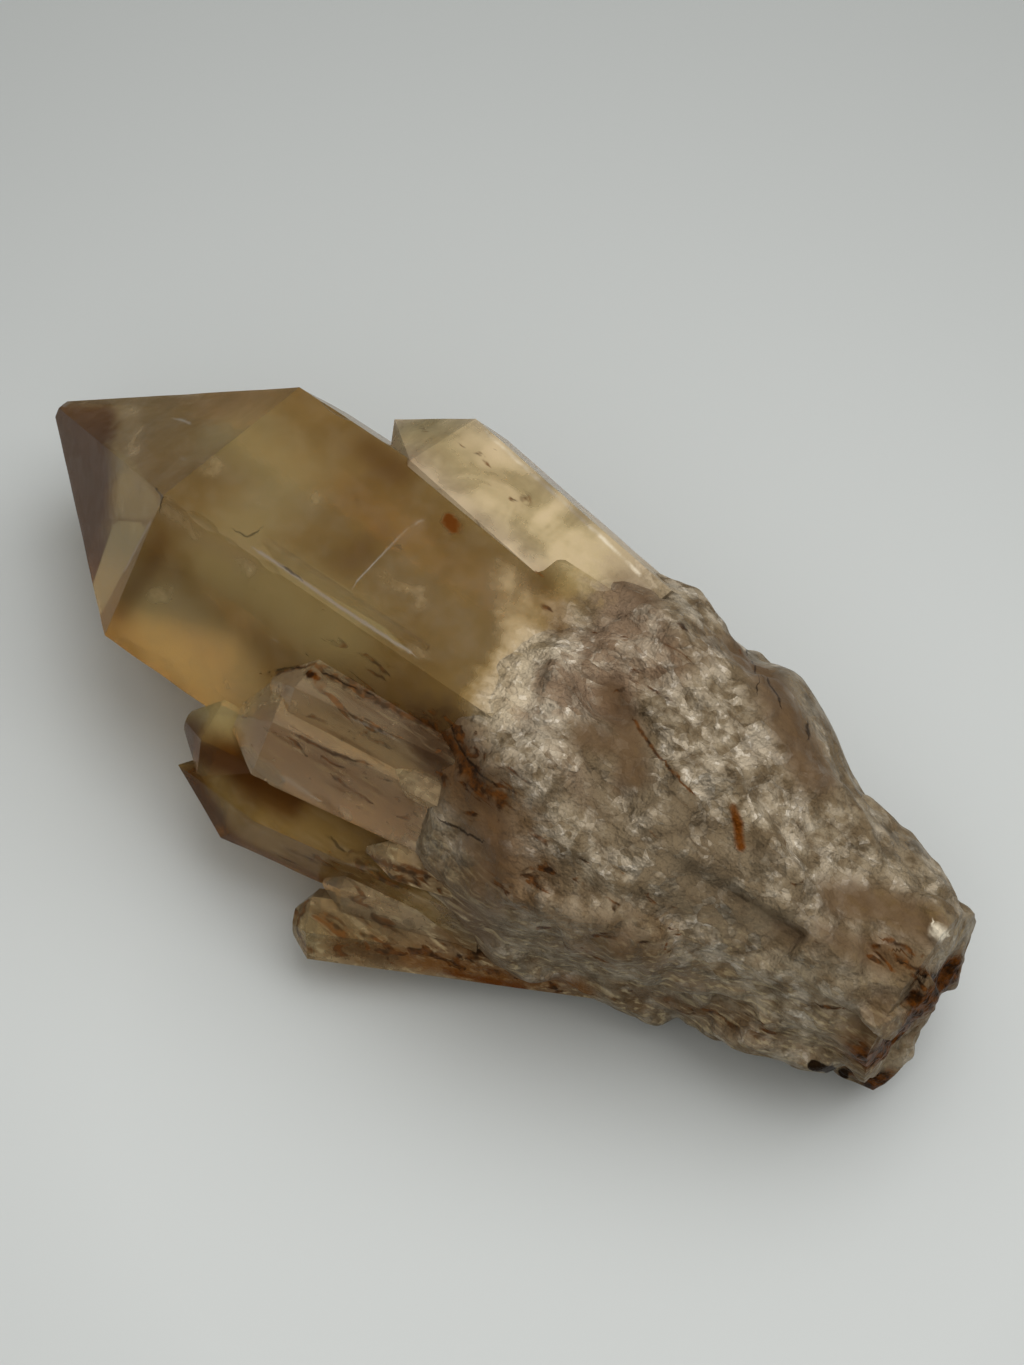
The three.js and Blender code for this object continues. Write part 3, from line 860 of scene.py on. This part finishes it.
def quartzMaterial(fieldNames):
    material = bpy.data.materials.new("citrine_quartz")
    material.use_nodes = True
    nodes = material.node_tree.nodes
    nodes.clear()
    node = partial(addNode, nodes)
    times, plus, minus, most = ({"operation": name} for name in ("MULTIPLY", "ADD", "SUBTRACT", "MAXIMUM"))
    timesPlus = {"operation": "MULTIPLY_ADD"}
    smooth = {"interpolation_type": "SMOOTHSTEP"}
    place = node("TexCoord", output="Object")
    field = {name: node("Attribute", output="Fac", attribute_name=name) for name in fieldNames}
    noise = {}
    for name, look in quartz["patterns"].items():
        stretched = node("Mapping", {"Vector": place, "Scale": (1 / look.get("stretch", 1), 1, 1)})
        noise[name] = node("TexNoise", {
            "Vector": stretched, "Scale": 1000 / look["size"], "Detail": look["detail"],
            "Distortion": look.get("bend", 0.0), "Roughness": look.get("roughness", 0.5),
        })

    # facets: cells, bent a little, that each lean and rise their own way, like packed small crystals
    stretched = node("Mapping", {"Vector": place, "Scale": (1 / quartz["facetStretch"], 1, 1)})
    bend = {"Vector": place, "Scale": 1000 / quartz["facetBendSize"], "Detail": 1}
    bend = node("TexNoise", bend, "Color")
    bend = node("VectorMath", {0: bend, "Scale": quartz["facetBend"] * mm}, operation="SCALE")
    bent = node("VectorMath", (stretched, bend), **plus)
    facetHeight, facetTone, facetReach = 0, [], []
    for facet in quartz["facets"]:
        cell = node("TexVoronoi", {"Vector": bent, "Scale": 1000 / facet["size"]}).node.outputs
        away = node("VectorMath", (bent, cell["Position"]), **minus)
        turned = node("VectorMath", (cell["Color"], (0.5, 0.5, 0.5)), **minus)
        slope = node("VectorMath", (away, turned), "Value", operation="DOT_PRODUCT")
        tone = node("SeparateXYZ", (cell["Color"],), "Z")
        lean = node("Math", (slope, facet["lean"] / (quartz["roughRise"] * mm)), **times)
        rise = node("Math", (tone, facet["step"], lean), **timesPlus)
        facetHeight = node("Math", (rise, facetHeight), **plus)
        facetTone.append(tone)
        facetReach.append(cell["Distance"])

    # a value moved by each (noise - 0.5) * reach
    def shaken(value, *shakes):
        for pattern, reach in shakes:
            offset = node("Math", (pattern, 0.5), **minus)
            value = node("Math", (offset, reach, value), **timesPlus)
        return value

    # a patch with an uneven rim
    def patch(name, low=0.25, high=0.75, reach=0.5):
        uneven = shaken(field[name + "Patch"], (noise["mottle"], reach))
        return node("MapRange", (uneven, low, high), **smooth)

    # a crack that wavers and has gaps
    def crack(name, waver=2.6, gaps=2.4, strength=1):
        across = shaken(field[name + "Across"], (noise["wisp"], waver), (noise["grain"], waver * 0.8))
        across = node("Math", (across,), operation="ABSOLUTE")
        there = shaken(field[name + "Near"], (noise["mottle"], gaps))
        there = node("MapRange", (there, 0.3, 0.8, 0, strength), **smooth)
        return node("Math", (node("MapRange", (across, 1.5, 0.2), **smooth), there), **times)

    # colours laid over each other, each by its share times its strength
    def painted(colour, *layers):
        for share, strength, tint in layers:
            share = node("Math", (share, strength), **times)
            colour = node("Mix", {0: share, 6: colour, 7: tint}, 2, data_type="RGBA")
        return colour

    # milkiness, broken up by clouds, wisps and fibres
    teaAndPaintedShade = patch("teaAndPaintedShade", 0.15, 0.95, 1.0)
    stain = patch("stain", 0.1, 1.0, 0.6)
    step = node("MapRange", (field["stepPane"], 0, 0.6, 0, 0.45), **smooth)
    veil = node("Math", (field["veilPatch"], step), **most)
    veil = shaken(veil, (noise["cloud"], 0.5), (noise["mottle"], 0.5))
    veil = node("MapRange", (veil, 0.1, 1.1), **smooth)
    torn = node("Math", (field["crust"], field["fibrous"]), **most)
    torn = node("MapRange", (torn, 0, 1, 0.15, 0.75), **smooth)
    strands = node("Math", (noise["wisp"], noise["fibre"]), **plus)
    strands = node("Math", (strands, 0.5), **times)
    milk = shaken(field["milk"], (noise["cloud"], 0.55), (strands, torn))
    milk = node("Math", (teaAndPaintedShade, -0.2, milk), **timesPlus)
    milk = node("Math", (veil, 0.25, milk), **timesPlus)
    milky = node("MapRange", (milk, 0.3, 0.8), **smooth)

    # marks: rust and dark stuff in cracks and patches, healed cracks and painted highlights along bright
    # edges, and rusty flecks
    rust = node("Math", (crack("rust", strength=0.85), patch("rust", 0.45, 0.95, 1.3)), **most)
    dark = node("Math", (crack("dark", strength=0.8), patch("dark", 0.35, 0.6, 0.9)), **most)
    frostAndHighlight = crack("frostAndHighlight", 1.0, 1.2)
    ember = patch("ember", 0.4, 0.9, 0.9)
    flecks = node("Math", (field["stainPatch"], 0.2, noise["fleck"]), **timesPlus)
    flecks = node("MapRange", (flecks, 0.7, 0.8), **smooth)
    rusty = node("Math", (node("Math", (flecks, 0.85), **times), rust), **most)

    # painted shade in dark brown, kept off the bright panes, and painted light where light comes through them
    shade = shaken(field["shadePane"], (noise["wisp"], 1.5))
    shade = node("MapRange", (shade, -0.3, 1.4), **smooth)
    umberAndPaintedShade = node("Math", (patch("umberAndPaintedShade", 0.1, 0.9, 0.3), shade), **most)
    unlit = 1
    for name in ("windowPane", "facetPane", "stepPane"):
        outside = node("MapRange", (field[name], 0, 0.15, 1, 0), **smooth)
        unlit = node("Math", (outside, unlit), operation="MINIMUM")
    umberAndPaintedShade = node("Math", (umberAndPaintedShade, unlit), **times)
    paintedGlow = patch("paintedGlow", 0.05, 0.95, 0.2)
    for name, soft, light in (("windowPane", 0.15, 0.9), ("ledgePane", 0.5, 0.7), ("facetPane", 0.5, 0.5)):
        lit = node("MapRange", (field[name], 0, soft, 0, light), **smooth)
        paintedGlow = node("Math", (paintedGlow, lit), **most)
    clearColour = painted(
        quartz["clear"],
        (node("MapRange", (noise["cloud"], 0.3, 0.7), **smooth), 0.6, quartz["clearDeep"]),
        (node("MapRange", (noise["mottle"], 0.4, 0.65), **smooth), 0.25, quartz["veil"]),
        (field["pale"], 1, quartz["pale"]),
        (paintedGlow, 1, quartz["paintedGlow"]),
    )

    # milky quartz: chalky and grey-brown on the root, smooth and honey-coloured on the crystals
    chalk = node("Math", (field["chalkPatch"], 0.45), **times)
    chalk = shaken(chalk, (noise["mottle"], 1.5), (facetTone[0], 0.4), (facetTone[1], 0.35))
    chalky = node("MapRange", (chalk, 0.1, 0.6), **smooth)
    # white specks on the crests of the sugar bumps where it is chalky: the crust's white flecks, and painted
    # glints on tiny facets
    specksAndGlints = node("Math", (node("MapRange", (noise["sugar"], 0.57, 0.63), **smooth), chalky), **times)
    rootColour = painted(
        quartz["milkBrown"],
        (node("MapRange", (noise["mottle"], 0.38, 0.62), **smooth), 1, quartz["milkCloud"]),
        (patch("mauve"), 1, quartz["mauve"]),
        (patch("olive"), 1, quartz["olive"]),
        (node("MapRange", (chalk, 0.0, 0.7), **smooth), 1, quartz["chalk"]),
        (specksAndGlints, 0.7, quartz["crust"]),
        # darker at the rims of the large facets: painted shade in the creases between them
        (node("MapRange", (facetReach[0], 0.45, 0.8), **smooth), 0.25, quartz["paintedCreviceShade"]),
    )
    milkColour = painted(
        quartz["milkHoney"],
        (field["pale"], 1, quartz["milkPale"]),
        (field["crust"], 1, rootColour),
    )
    streak = node("MapRange", (noise["fibre"], 0.5, 0.72), **smooth)
    thread = node("MapRange", (noise["fineFibre"], 0.5, 0.7), **smooth)
    colour = painted(
        clearColour,
        (milky, 1, milkColour),
        (veil, 0.5, quartz["veil"]),
        (teaAndPaintedShade, 0.8, quartz["teaAndPaintedShade"]),
        (stain, 0.35, quartz["stain"]),
        (node("Math", (streak, field["fibrous"]), **times), 0.45, quartz["streak"]),
        (node("Math", (thread, field["fibrous"]), **times), 0.6, quartz["thread"]),
        # dark brown: smoky colour and painted shade
        (umberAndPaintedShade, 1, quartz["umberAndPaintedShade"]),
        (frostAndHighlight, 1, quartz["frostAndHighlight"]),
        (rusty, 1, painted(
            quartz["rust"], (node("MapRange", (noise["grain"], 0.35, 0.65), **smooth), 1, quartz["rustDeep"]),
        )),
        (ember, 1, quartz["ember"]),
        (dark, 1, quartz["dark"]),
    )

    # marks cover the quartz, which is otherwise see-through where it is clear
    covered = node("Math", (rust, dark), **most)
    for mark in (flecks, ember):
        covered = node("Math", (covered, mark), **most)
    covered = node("Math", (covered, 2), operation="POWER")
    uncovered = node("Math", (covered, -0.85, 1), **timesPlus)
    seeThrough = node("MapRange", (milky, 0, 1, *quartz["seeThrough"]), **smooth)
    seeThrough = node("Math", (seeThrough, uncovered), **times)
    roughness = node("MapRange", (milky, 0, 1, *quartz["roughness"]), **smooth)
    rough = node("Math", (noise["sugar"], 0.7, facetHeight), **timesPlus)
    rough = node("Math", (noise["grit"], 0.3, rough), **timesPlus)
    bumpShare = node("Math", (milky, field["crust"]), **times)
    bumpShare = node("MapRange", (bumpShare, 0, 1, 0.05, 1), **smooth)
    smoothed = node("Math", (teaAndPaintedShade, -0.6, 1), **timesPlus)
    bumpShare = node("Math", (bumpShare, smoothed), **times)
    bump = node("Bump", {"Strength": bumpShare, "Distance": quartz["roughRise"] * mm, "Height": rough})

    shader = node("BsdfPrincipled", {
        "Base Color": colour, "Roughness": roughness, "IOR": quartz["ior"],
        "Transmission Weight": seeThrough, "Normal": bump, "Specular IOR Level": quartz["gloss"],
        "Specular Tint": quartz["glossTint"],
    })
    absorb = node("VolumeAbsorption", {"Color": quartz["absorb"], "Density": quartz["absorbPerMetre"]})
    node("OutputMaterial", {"Surface": shader, "Volume": absorb})
    return material


specimen.data.materials.clear()
specimen.data.materials.append(quartzMaterial(skinFields))
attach(specimen, "root")
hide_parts("citrine_cluster")
print("specimen dressed")

studio = {
    "floorPaintedLight": "#ccd0d1",
    "floorPaintedShade": "#757979",
    "paleTo": 0.05,  # metres from the lightest spot, which lies towards the near side
    "dimFrom": 0.34,
    "paleNear": 0.03,
    "paleRight": 0.015,
    "floorRoughness": 0.7,
    "floorSize": 8.0,
    "floorDrop": 0.25,  # millimetres below the specimen, so that the two faces don't share a plane
    "skyHigh": "#e9e6e0",
    "skyLow": "#2c2b29",
    "skyStrength": 0.75,
    "gamma": 0.82,
    "exposure": 0.6,
    "lampSize": 2.0,
    "lampPower": 10,
    "lampPlace": (0.38, 0.58, 1.46),
    "fillSize": 0.9,
    "fillPower": 1.0,
    "fillPlace": (0.35, -0.65, 0.85),
}


def addLamp(name, place, size, power):
    data = bpy.data.lights.new(name, "AREA")
    data.shape, data.size, data.energy = "DISK", size, power
    lamp = bpy.data.objects.new(name, data)
    bpy.context.scene.collection.objects.link(lamp)
    lamp.location = place
    lamp.rotation_euler = (-Vector(place)).to_track_quat("-Z", "Y").to_euler()


# matt uncoated paper: a pale, even sheet with no gloss, painted lightest near the specimen and darker further
# out as a painted pool of light
def addFloor():
    half = studio["floorSize"] / 2
    level = -studio["floorDrop"] * mm
    corners = [(-half, -half, level), (half, -half, level), (half, half, level), (-half, half, level)]
    mesh = bpy.data.meshes.new("floor")
    mesh.from_pydata(corners, [], [(0, 1, 2, 3)])
    floor = bpy.data.objects.new("floor", mesh)
    bpy.context.scene.collection.objects.link(floor)
    material = bpy.data.materials.new("matt_paper")
    material.use_nodes = True
    nodes = material.node_tree.nodes
    place = addNode(nodes, "TexCoord", output="Object")
    towardsNear = np.array([np.sin(turn), -np.cos(turn), 0])
    lightest = tuple(studio["paleNear"] * towardsNear + studio["paleRight"] * viewRight)
    away = addNode(nodes, "VectorMath", (place, lightest), "Value", operation="DISTANCE")
    share = addNode(nodes, "MapRange", (away, studio["paleTo"], studio["dimFrom"]))
    # painted light: the floor's colour is lighter near the specimen and darker further out
    shades = {0: share, 6: studio["floorPaintedLight"], 7: studio["floorPaintedShade"]}
    colour = addNode(nodes, "Mix", shades, 2, data_type="RGBA")
    shader = nodes["Principled BSDF"]
    shader.inputs["Roughness"].default_value = studio["floorRoughness"]
    material.node_tree.links.new(colour, shader.inputs["Base Color"])
    mesh.materials.append(material)


def addSky():
    world = bpy.data.worlds.new("sky")
    world.use_nodes = True
    nodes = world.node_tree.nodes
    background = nodes["Background"]
    direction = addNode(nodes, "TexCoord", output="Generated")
    height = addNode(nodes, "SeparateXYZ", (direction,), "Z")
    shades = {0: height, 6: studio["skyLow"], 7: studio["skyHigh"]}
    colour = addNode(nodes, "Mix", shades, 2, data_type="RGBA")
    world.node_tree.links.new(colour, background.inputs["Color"])
    background.inputs["Strength"].default_value = studio["skyStrength"]
    bpy.context.scene.world = world


addFloor()
addSky()
addLamp("window", studio["lampPlace"], studio["lampSize"], studio["lampPower"])
addLamp("fill", studio["fillPlace"], studio["fillSize"], studio["fillPower"])
addCamera()
bpy.context.scene.view_settings.view_transform = "Standard"
bpy.context.scene.view_settings.gamma = studio["gamma"]
bpy.context.scene.view_settings.exposure = studio["exposure"]
print("studio set")
